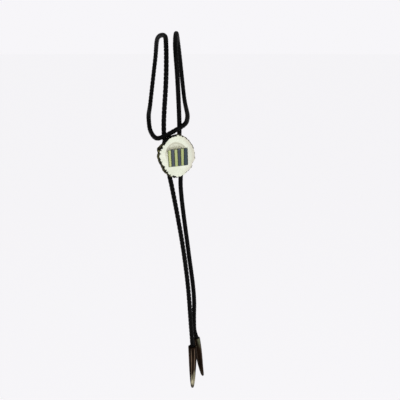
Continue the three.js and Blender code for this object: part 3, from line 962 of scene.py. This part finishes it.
def plate_rings():
    """The plate: a rectangle with quarter-round corners, drawn in along a quarter circle near
    its two faces."""
    corner = np.radians(np.linspace(0.0, 90.0, PLATE_CORNER_STEPS))
    quarter = np.stack((np.cos(corner), np.sin(corner)), axis=1)
    half = np.array((PLATE_WIDTH, PLATE_HEIGHT)) / 2 - PLATE_CORNER_RADIUS
    turns = ((1, 1), (-1, 1), (-1, -1), (1, -1))
    hub = np.concatenate([np.tile(half * turn, (PLATE_CORNER_STEPS, 1)) for turn in turns])
    spoke = np.concatenate([
        (quarter if turn[0] * turn[1] > 0 else quarter[::-1]) * turn for turn in turns
    ])
    bend = np.radians(np.linspace(0.0, 90.0, PLATE_BEVEL_STEPS))
    levels = [(PLATE_BEVEL * (1 - np.cos(a)), PLATE_BEVEL * (1 - np.sin(a))) for a in bend]
    levels += [(PLATE_THICKNESS - z, inset) for z, inset in levels[::-1]]
    rings = []
    for z, inset in levels:
        outline = hub + spoke * (PLATE_CORNER_RADIUS - inset)
        rings.append(on_slide(outline[:, 0], outline[:, 1], PLATE_BACK + z))
    return np.stack(rings)


def tunnel_rings(x):
    """An open tube: its wall's section, with half-round ends, turned about the tunnel's middle
    line."""
    outer = BORE_RADIUS + TUNNEL_WALL
    lip = TUNNEL_WALL / 2
    end = TUNNEL_LENGTH / 2 - lip
    arc = np.linspace(0.0, np.pi, TUNNEL_LIP_STEPS)
    radius = np.concatenate((outer - lip + lip * np.cos(arc), outer - lip - lip * np.cos(arc)))[:, None]
    height = np.concatenate((end + lip * np.sin(arc), -end - lip * np.sin(arc)))[:, None]
    angle = 2 * np.pi * np.arange(TUNNEL_SIDES)[None, :] / TUNNEL_SIDES
    return on_slide(x + radius * np.sin(angle), height + 0 * angle, radius * np.cos(angle))


def add_clip(finish):
    """A flat plate with rounded corners and edges, and two open tubes that it carries."""
    shell = Shell()
    shell.skin(plate_rings())
    for x in (-TUNNEL_X, TUNNEL_X):
        shell.skin(tunnel_rings(x), closed_rows=True)
    shell.build("metal_clip", finish, "cord_clip")


# Tips

def bell(angle, bearing, width):
    """1 at a bearing, falling off as a bell curve of a half width, both in degrees."""
    gap = np.angle(np.exp(1j * (angle - np.radians(bearing))))
    return np.exp(-((gap / np.radians(width)) ** 2))


def facing(angle, bearing):
    """1 at a bearing in degrees, 0 on the far side, and a cosine between."""
    return 0.5 + 0.5 * np.cos(angle - np.radians(bearing))


def tine_relief(tip, angle, along):
    """How far the surface stands out: furrows, a sum of cosines round the tine that turn a little
    along it, and ridges, the highest of several bells. Both fade towards the ends."""
    random = np.random.default_rng(tip["seed"])
    waves = [
        (random.integers(*FURROW_COUNTS), random.uniform(*FURROW_TURNS), random.uniform(*FURROW_SIZES))
        for _ in range(FURROW_WAVES)
    ]
    furrow = sum(size * np.cos(count * angle + turn + FURROW_TWIST * along) for count, turn, size in waves)
    fade = np.sin(np.pi * np.clip(along, 0.0, 1.0) ** RELIEF_SKEW) ** RELIEF_POWER
    ridge = fade * np.max([bell(angle, bearing, width) for bearing, width in tip["ridges"]], axis=0)
    level = FURROW_SHARE * (furrow / FURROW_CALM) + RIDGE_SHARE * ridge - RELIEF_FLOOR
    return TINE_GROOVE * fade * level, ridge


def tine_wear(tip, angle, along):
    """Shares of wear and of painted light: a pale ramp towards the point, a darker tail past it,
    and a painted highlight down one side that falls off from the mouth."""
    start = PALE_START + PALE_DELAY * (1 - facing(angle, PALE_RIGHT))
    front = PALE_BEHIND + (1 - PALE_BEHIND) * facing(angle, PALE_FRONT) ** 2
    bearing, width, reach = tip["side_highlight"]
    return {
        "pale": np.clip((along - start) / PALE_RAMP, 0, 1) * front,
        "tail": np.clip((along - TAIL_START) / TAIL_RAMP, 0, 1) + 0 * angle,
        "bleach": bell(angle, bearing, width) * np.clip(1 - along / reach, 0, 1),
    }


def add_tip(tip):
    """A tapered tine with a blind round socket, in rings along its axis. A ring's radius is the
    profile's girth plus the relief, about a middle line that bends to the side. The first rings
    line the socket, from its floor out to the mouth."""
    mouth, end = np.array(tip["mouth"]), np.array(tip["end"])
    axis = unit(end - mouth)
    side = unit(np.array((1.0, 0.0, 0.0)) - axis * axis[0])
    third = np.cross(axis, side)
    profile = open_spline(tip["rows"], TINE_SAMPLES_PER_ROW)
    along, girth, bend = (column[:, None] for column in profile.T)
    angle = 2 * np.pi * np.arange(TINE_SIDES)[None, :] / TINE_SIDES
    relief, ridge = tine_relief(tip, angle, along)
    radius = (BORE_RADIUS + tip["wall"]) * girth + relief
    grid = mouth + (bend * tip["length"] + radius * np.cos(angle))[..., None] * side
    grid = grid + (radius * np.sin(angle))[..., None] * third
    grid = grid + (along * tip["length"] + 0 * angle)[..., None] * axis
    depth = np.linalg.norm(end - mouth) + SEAT_GAP
    spoke = np.cos(angle[0])[:, None] * side + np.sin(angle[0])[:, None] * third
    lining = ((0.5, depth), (1.0, depth), (1.0, depth / 2), *SOCKET_LIP)
    socket = np.stack([mouth + BORE_RADIUS * share * spoke + level * axis for share, level in lining])
    unseen = np.zeros(socket.shape[:2])
    looks = {"ridge": ridge, **tine_wear(tip, angle, along)}
    shell = Shell()
    shell.skin(
        np.concatenate((socket, grid)),
        {name: np.concatenate((unseen, value)) for name, value in looks.items()},
    )
    finish = dark_antler(tip["piece"], srgb(*tip["worn_tone"]), tip["worn_share"])
    shell.build(tip["piece"], finish, tip["node"])


# Studio

def add_floor():
    """A wide flat disc, far below the tips."""
    angle = 2 * np.pi * np.arange(FLOOR_SIDES) / FLOOR_SIDES
    rim = np.stack((FLOOR_RADIUS * np.cos(angle), FLOOR_RADIUS * np.sin(angle), 0 * angle + FLOOR_Z), axis=1)
    mesh = bpy.data.meshes.new("studio_floor")
    mesh.from_pydata(rim.tolist(), [], [list(range(FLOOR_SIDES))])
    floor = place_new("studio_floor", mesh)
    paint = Finish("studio_floor", None, roughness=0.9, specular_ior_level=0.0)
    paint.feed(base_color=FLOOR_TONE, emission_color=PALE, emission_strength=FLOOR_GLOW)
    mesh.materials.append(paint.material)


def add_light(name, place, aim, size, power):
    """A round soft light that faces its aim."""
    data = bpy.data.lights.new(name, "AREA")
    data.shape = "DISK"
    data.size = size
    data.energy = power
    light = place_new(name, data)
    light.location = place
    light.rotation_euler = (Vector(aim) - Vector(place)).to_track_quat("-Z", "Y").to_euler()


def add_world():
    """Pale to the camera, and a softer fill on the tie."""
    world = bpy.data.worlds.new("studio_world")
    world.use_nodes = True
    tree = world.node_tree
    tree.nodes.clear()
    ray = add_node(tree, "ShaderNodeLightPath").outputs["Is Camera Ray"]
    fill = add_node(tree, "ShaderNodeBackground", {}, {"Color": WHITE, "Strength": WORLD_FILL})
    seen = add_node(tree, "ShaderNodeBackground", {}, {"Color": PALE})
    mix = add_node(tree, "ShaderNodeMixShader", {}, {0: ray, 1: fill.outputs[0], 2: seen.outputs[0]})
    add_node(tree, "ShaderNodeOutputWorld", {}, {"Surface": mix.outputs[0]})
    bpy.context.scene.world = world


add_camera()
add_cord(black_leather())
add_slice(antler_face())
stones = {slot: stone(slot, *tones) for slot, tones in STONES.items()}
for number, strip_row in enumerate(STRIP_ROWS, start=1):
    add_strip(number, strip_row, stones[strip_row["stone"]])
add_clip(clip_metal())
for tip_row in TIP_ROWS:
    add_tip(tip_row)

add_floor()
for light_row in LIGHT_ROWS:
    add_light(**light_row)
add_world()
bpy.context.scene.view_settings.view_transform = "Standard"
